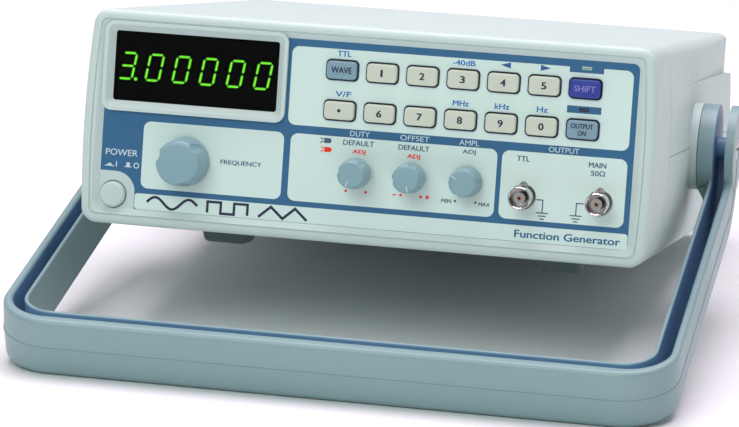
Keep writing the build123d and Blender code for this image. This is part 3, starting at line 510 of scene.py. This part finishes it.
key_holes = [around(place, grown(key_hole, 0.1), hole_round) for place in all_keys]
lamp_holes = [around(place, (4.3, 1.5), 0.1) for place in lamp_places]
panels = [
    slab_mesh([rounded(*upper, panel_round)] + key_holes + lamp_holes, film, 0),
    slab_mesh(
        [rounded(-98.7, -35.7, lower_low, lower_high, panel_round), circle(frequency_place, shaft_hole)],
        film, 0,
    ),
    slab_mesh(
        [rounded(-32.7, 58.4, lower_low, lower_high, panel_round)]
        + [circle((x, knob_z), shaft_hole) for x, front, angle in knobs.values()],
        film, 0,
    ),
    slab_mesh(
        [rounded(60.5, 114.7, lower_low, lower_high, panel_round)]
        + [keyhole(x) for x in jacks],
        film, 0,
    ),
    slab_mesh([rounded(-101.0, 117.0, 7.35, 14.3, 1.4)], film, 0),
]
piece("label_panels", panels, mint, "root")

tabs = [
    slab_mesh([around((94.4, 83.6), (14.8, 4.0), 0.1), lamp_holes[0]], print_front, print_back),
    slab_mesh([around((94.4, 65.8), (14.8, 3.1), 0.1), lamp_holes[1]], print_front, print_back),
]
piece("label_lamp_tabs", tabs, ink["ground"], "root")


def key_rings(outer, outer_round, inner, inner_round, front, back):
    """Flat ring round each key; outer and inner are its sizes."""
    return [
        slab_mesh([around(place, outer, outer_round), around(place, inner, inner_round)], front, back)
        for place in all_keys
    ]


# pale ring; black ring inside it, painted shade at the edge of the gap; and a black sheet in the gap round
# each key, painted shade in the gap
halo_size, halo_round, halo_front = grown(key_hole, 1.6), 2.7, 0.12
gap_shade_size, gap_shade_round, gap_shade_front = grown(key_hole, 0.7), 2.3, 0.13
halos = key_rings(halo_size, halo_round, gap_shade_size, gap_shade_round, halo_front, print_back)
piece("label_key_halos", halos, ink["white"], "root")
# black ring round each hole: painted shade of the gap round the key
edges = key_rings(gap_shade_size, gap_shade_round, key_hole, hole_round, gap_shade_front, print_back)
piece("label_key_gap_shade", edges, ink["black"], "root")
# black sheet behind the label in the gap round each key: painted shade in the gap
gap_sheet_front, gap_sheet_back = -0.3, -2.4
gap_shade_sheets = key_rings(grown(key_hole, -0.04), 1.98, grown(key_size, 0.24), 1.9, gap_sheet_front, gap_sheet_back)
piece("key_gap_shade_sheets", gap_shade_sheets, ink["black"], "root")

words = {
    "white": [
        ("POWER", (-108.0, 31.6), 14.5, 2.8, 0.03), ("DUTY", (-2.3, 47.9), 8.6, 2.3, 0.02),
        ("OFFSET", (21.9, 47.9), 12.8, 2.3, 0.02), ("AMPL", (45.8, 47.9), 8.8, 2.3, 0.02),
        ("OUTPUT", (87.0, 47.9), 13.1, 2.3, 0.02),
    ],
    "bright": [
        ("TTL", (-11.4, 82.0), 6.2, 2.4, 0.1), ("-40dB", (41.2, 82.0), 10.0, 2.4, 0.1),
        ("V/F", (-10.8, 64.6), 7.1, 2.4, 0.1), ("MHz", (40.9, 64.6), 7.0, 2.4, 0.1),
        ("kHz", (58.9, 64.6), 6.4, 2.4, 0.1), ("Hz", (76.4, 64.6), 4.8, 2.4, 0.1),
    ],
    "slate": [
        ("FREQUENCY", (-54.2, 30.9), 18.4, 2.3, 0.07), ("DEFAULT", (-2.6, 43.9), 13.7, 2.3, 0.08),
        ("DEFAULT", (21.8, 43.7), 13.7, 2.3, 0.08), ("ADJ", (46.0, 43.8), 5.9, 2.3, 0.08),
        ("TTL", (69.7, 43.0), 5.7, 2.3, 0.09), ("MAIN", (101.9, 42.7), 7.6, 2.3, 0.09),
        ("50Ω", (102.3, 39.2), 6.2, 2.3, 0.08), ("MIN", (37.5, 22.2), 4.4, 1.7, 0.08),
        ("MAX", (54.1, 21.9), 5.0, 1.7, 0.08),
    ],
    "red": [("ADJ", (-2.2, 40.0), 5.8, 2.3, 0.12), ("ADJ", (21.9, 39.9), 5.9, 2.3, 0.12)],
    "ground": [("Function Generator", (91.0, 10.7), 46.0, 3.3, 0.14)],
}


def lettering(rows, front=print_front, back=print_back):
    return [
        text_mesh(text, centre, width, height, front, back, bold)
        for text, centre, width, height, bold in rows
    ]


def flat(*outlines):
    return slab_mesh(outlines, print_front, print_back)


def bar(left, right, z, width=0.5):
    return flat(stroke([(left, z), (right, z)], width))


def ground_symbol(lead, centre, top):
    """Lead that turns down to three shrinking bars."""
    steps = ((2.6, 0), (1.75, 1.3), (1.0, 2.55))
    bars = [bar(centre - half, centre + half, top - drop) for half, drop in steps]
    return [flat(stroke(lead + [(centre, top)], 0.5))] + bars


def pull_mark(x, z, reach):
    """Knob seen from the side with its two arrows, drawn solid."""
    root, half = x - 0.4, 1.1
    body = flat([(root, z - half)] + arc((x + 1.7, z), half, -80, 80, 8) + [(root, z + half)])
    prongs = [
        flat(stroke([(root, z + side * 0.55), (x - reach, z + side * 0.55),
                     (x - reach - 0.5, z + side * 1.25)], 0.4))
        for side in (-1, 1)
    ]
    return [body] + prongs


def curve_points(points_of, left, right, steps):
    return [points_of(left + (right - left) * step / steps) for step in range(steps + 1)]


def wave_marks(low, high, weight):
    """Sine, square and triangle waves, one period and a half of each."""
    middle, rise = (low + high) / 2, (high - low) / 2
    sine = curve_points(lambda x: (x, middle + rise * sin((x + 95.4) / 15.2 * 2 * pi)), -95.4, -72.6, 60)
    square = [(-68.0, low), (-68.0, high), (-62.0, high), (-62.0, low), (-56.0, low), (-56.0, high),
              (-50.0, high), (-50.0, low)]
    triangle = [(-45.0, low), (-39.6, high), (-34.2, low), (-28.8, high), (-23.4, low)]
    return [flat(stroke(line, weight)) for line in (sine, square, triangle)]


white_marks = lettering(words["white"])
white_marks += [
    # button pushed in beside the line for on; button out beside the ring for off
    flat([(-115.3, 25.7), (-114.3, 25.7), (-113.8, 26.6), (-112.6, 26.6), (-112.1, 25.7), (-111.1, 25.7),
          (-111.1, 25.3), (-115.3, 25.3)]),
    flat(stroke([(-110.1, 25.2), (-110.1, 27.6)], 0.45)),
    flat([(-106.4, 25.7), (-105.6, 25.7), (-105.6, 27.4), (-104.0, 27.4), (-104.0, 25.7), (-103.2, 25.7),
          (-103.2, 25.3), (-106.4, 25.3)]),
    flat(circle((-101.1, 26.3), 1.3), circle((-101.1, 26.3), 0.85)),
]
slate_marks = lettering(words["slate"])
slate_marks += [flat(circle(place, 0.55)) for place in ((41.3, 22.4), (50.2, 22.4))]
slate_marks += ground_symbol([(76.6, 25.9), (79.4, 25.9)], 79.4, 20.3)
slate_marks += ground_symbol([(97.2, 25.7), (94.0, 25.7)], 94.0, 20.3)
slate_marks += pull_mark(-17.4, 44.0, 1.6)
red_marks = lettering(words["red"])
red_marks += [flat(circle(place, 0.62)) for place in ((-6.9, 22.9), (1.9, 23.0), (17.3, 23.0), (26.2, 22.9))]
red_marks += [bar(13.7, 15.4, 22.9, 0.55)]
red_marks += [flat([(28.1, 22.6), (28.75, 22.6), (28.75, 21.9), (29.35, 21.9), (29.35, 22.6), (30.0, 22.6),
                    (30.0, 23.2), (29.35, 23.2), (29.35, 23.9), (28.75, 23.9), (28.75, 23.2), (28.1, 23.2)])]
red_marks += pull_mark(-17.1, 40.1, 1.4)
navy_marks = wave_marks(8.4, 13.2, 1.15)
royal_marks = [
    flat([(57.1, 82.4), (61.5, 81.1), (61.5, 83.7)]), flat([(78.9, 82.4), (74.5, 81.1), (74.5, 83.7)]),
]

for colour, marks in (
    ("white", white_marks), ("bright", lettering(words["bright"])), ("slate", slate_marks),
    ("red", red_marks),
    ("navy", navy_marks), ("royal", royal_marks), ("ground", lettering(words["ground"])),
):
    piece(f"label_print_{colour}", marks, ink[colour], "root")

# ---- key legends --------------------------------------------------------------------------------

legends = {
    "wave_key": [("WAVE", (0, 0.1), 9.2, 2.8, 0.1)],
    "shift_key": [("SHIFT", (0, 0), 9.2, 2.6, 0.05)],
    "output_key": [("OUTPUT", (0, 1.5), 9.6, 2.2, 0.08), ("ON", (0, -1.5), 3.7, 2.2, 0.08)],
}
digit_widths = {"1": 1.0}
for row, z in enumerate(key_rows):
    for column, x in enumerate(key_columns):
        name = key_names[row][column]
        top, low = key_front + 0.04, key_front - 0.06
        if name == "point_key":
            marks = [slab_mesh([circle((x, z), 0.75)], top, low)]
        else:
            digit = name[-1]
            rows = legends.get(name) or [(digit, (0, 0), digit_widths.get(digit, 2.4), 3.1, 0.16)]
            marks = [
                text_mesh(text, (x + centre[0], z + centre[1]), width, height, top, low, bold)
                for text, centre, width, height, bold in rows
            ]
        colour = ink["pale"] if name == "shift_key" else ink["navy"]
        piece(f"{name}_legend", marks, colour, name)

# fine dark joint between the two halves of the case, on both sides of each pivot boss
seam_half = 0.16
seam_out, seam_in = 127.04, 126.6           # just outside and just inside the case's side
seam_runs = ((45.8, 119.8), (160.2, 288.5))     # from the bezel to the boss, and on to the rear
seams = []
for side in (-1, 1):
    for low, high in seam_runs:
        faces = [side * seam_out, side * seam_in]
        line = bmesh.new()
        ring = [(low, -seam_half), (high, -seam_half), (high, seam_half), (low, seam_half)]
        skins = [[line.verts.new((x, pivot_z + rise, -depth)) for depth, rise in ring] for x in faces]
        line.faces.new(skins[0])
        line.faces.new(skins[1][::-1])
        for index in range(4):
            after = (index + 1) % 4
            line.faces.new((skins[0][index], skins[1][index], skins[1][after], skins[0][after]))
        bmesh.ops.recalc_face_normals(line, faces=line.faces[:])
        seams.append(bpy.data.meshes.new("seam"))
        line.to_mesh(seams[-1])
        line.free()
piece("case_seams", seams, ink["seam"], "root")

# black discs on the sockets' centre contacts, painted shade standing for the holes in them
hole_shade_radius, hole_shade_front, hole_shade_back = 0.6, 10.2, 9.6
hole_shades = [slab_mesh([circle((x, jack_z), hole_shade_radius, 24)], hole_shade_front, hole_shade_back) for x in jacks]
piece("contact_hole_shades", hole_shades, ink["black"], "root")

# ---- display ------------------------------------------------------------------------------------

display_green = glowing("segment_green", linear(104, 206, 44), 2.3)
lean = 0.17
digit_low, digit_high = 63.9, 75.2
digit_half = 3.0


def leaned(x, z):
    return (x + (z - (digit_low + digit_high) / 2) * lean, z)


def segment(start, end, width=0.95):
    """Bar with pointed ends."""
    start, end = Vector(start), Vector(end)
    way = (end - start).normalized()
    side = Vector((-way.y, way.x)) * width / 2
    tip = way * width * 0.45
    shoulder = way * width * 0.95
    corners = [
        start + tip, start + shoulder + side, end - shoulder + side,
        end - tip, end - shoulder - side, start + shoulder - side,
    ]
    return [leaned(point.x, point.y) for point in corners]


def digit_outlines(centre, lit):
    left, right, middle = centre - digit_half, centre + digit_half, (digit_low + digit_high) / 2
    bars = {
        "a": ((left, digit_high), (right, digit_high)), "b": ((right, middle), (right, digit_high)),
        "c": ((right, digit_low), (right, middle)), "d": ((left, digit_low), (right, digit_low)),
        "e": ((left, digit_low), (left, middle)), "f": ((left, middle), (left, digit_high)),
        "g": ((left, middle), (right, middle)),
    }
    return [segment(*bars[name]) for name in lit]


window_face, window_back = -3.25, -3.6
filter_lap = 1.2            # how far the black plate runs past the window
filter_outline = rounded(window[0] - filter_lap, window[1] + filter_lap,
                         window[2] - filter_lap, window[3] + filter_lap, 1.8)
filter_plate = slab_mesh([filter_outline], window_face, window_back)
piece("display_filter", [filter_plate], library["display_body"], "root")
digits = []
first_digit, digit_pitch = -108.5, 12.2
glow_front, glow_back = window_face + 0.1, window_face - 0.1
for index in range(6):
    shapes = digit_outlines(first_digit + digit_pitch * index, "abcdg" if index == 0 else "abcdef")
    digits += [slab_mesh([shape], glow_front, glow_back) for shape in shapes]
digits.append(slab_mesh([circle((-104.6, 64.0), 0.75)], glow_front, glow_back))
piece("display_digits", digits, display_green, "root")

# ---- knob pointers ------------------------------------------------------------------------------

knob_radius, knob_edge = 6.0, 1.35
pointer_start, pointer_half, pointer_deep = 2.9, 0.26, 0.4
stand = 0.03                # how far the ink stands out of the knob
for name, (x, front, angle) in knobs.items():
    # across the flat face and down over the rounded edge
    flat_end, bow = knob_radius - knob_edge, knob_edge + stand
    profile = [(pointer_start, front + stand), (flat_end, front + stand)]
    profile += [(flat_end + bow * sin(turn), front - knob_edge + bow * cos(turn))
                for turn in (radians(15 * step) for step in range(1, 6))]
    line = bmesh.new()
    rings = []
    for reach, out in profile:
        rings.append([
            line.verts.new((reach, side * pointer_half, out - drop))
            for side, drop in ((-1, 0), (1, 0), (1, pointer_deep), (-1, pointer_deep))
        ])
    for one, other in zip(rings, rings[1:]):
        for index in range(4):
            after = (index + 1) % 4
            line.faces.new((one[index], one[after], other[after], other[index]))
    line.faces.new(rings[0])
    line.faces.new(rings[-1][::-1])
    mesh = bpy.data.meshes.new("pointer")
    line.to_mesh(mesh)
    line.free()
    mesh.transform(Matrix.Translation((x, knob_z, 0)) @ Matrix.Rotation(radians(angle), 4, "Z"))
    piece(f"{name}_pointer", [mesh], ink["pointer"], f"{name}_knob")

# ---- floor, light and camera --------------------------------------------------------------------

floor_mesh = bpy.data.meshes.new("floor")
floor_half = 8.0
floor_mesh.from_pydata([(x * floor_half, y * floor_half, 0) for x, y in ((-1, -1), (1, -1), (1, 1), (-1, 1))],
                       [], [(0, 1, 2, 3)])
floor = bpy.data.objects.new("floor", floor_mesh)
bpy.context.scene.collection.objects.link(floor)
floor_mesh.materials.append(moulded("floor_pale", (0.86, 0.87, 0.88, 1), 0.7, 40.0, 0.0001, 0.05, 0.004))
floor.location.z = -0.0002

world = bpy.data.worlds.new("studio")
world.use_nodes = True
world.node_tree.nodes["Background"].inputs["Color"].default_value = (0.96, 0.97, 1.0, 1)
world.node_tree.nodes["Background"].inputs["Strength"].default_value = 0.32
bpy.context.scene.world = world
bpy.context.scene.view_settings.view_transform = "Standard"


def soft_light(name, place, target, size, power, colour=(1, 1, 1)):
    data = bpy.data.lights.new(name, "AREA")
    data.shape = "RECTANGLE"
    data.size, data.size_y = size
    data.energy = power
    data.color = colour
    lamp = bpy.data.objects.new(name, data)
    lamp.location = place
    lamp.rotation_euler = (Vector(target) - Vector(place)).to_track_quat("-Z", "Y").to_euler()
    bpy.context.scene.collection.objects.link(lamp)


soft_light("key_softbox", (-0.35, -1.6, 1.25), (0, 0, 0.08), (1.1, 0.9), 13.5, (0.93, 1.0, 0.97))
soft_light("fill_softbox", (1.5, -1.2, 0.8), (0, 0, 0.08), (1.2, 1.2), 1.5)
soft_light("top_softbox", (0.0, 0.3, 1.7), (0, 0, 0.1), (1.8, 1.4), 40, (1.0, 0.86, 0.96))

camera_level = Vector((317.9, -1568.8, 149.9))
camera_axes = Matrix((
    (0.97727, 0.20119, 0.06681),      # to the right
    (-0.08232, 0.06971, 0.99417),     # up
    (0.19536, -0.97707, 0.08468),     # back from the view
)).transposed()
camera_data = bpy.data.cameras.new("camera")
camera_data.sensor_width = 36
camera_data.lens = 180.8
camera_data.clip_start = 0.05
camera = bpy.data.objects.new("camera", camera_data)
turn = Matrix.Rotation(-tilt, 3, "X") @ camera_axes
camera.matrix_world = Matrix.Translation(level_to_row @ camera_level) @ turn.to_4x4()
bpy.context.scene.collection.objects.link(camera)
bpy.context.scene.camera = camera
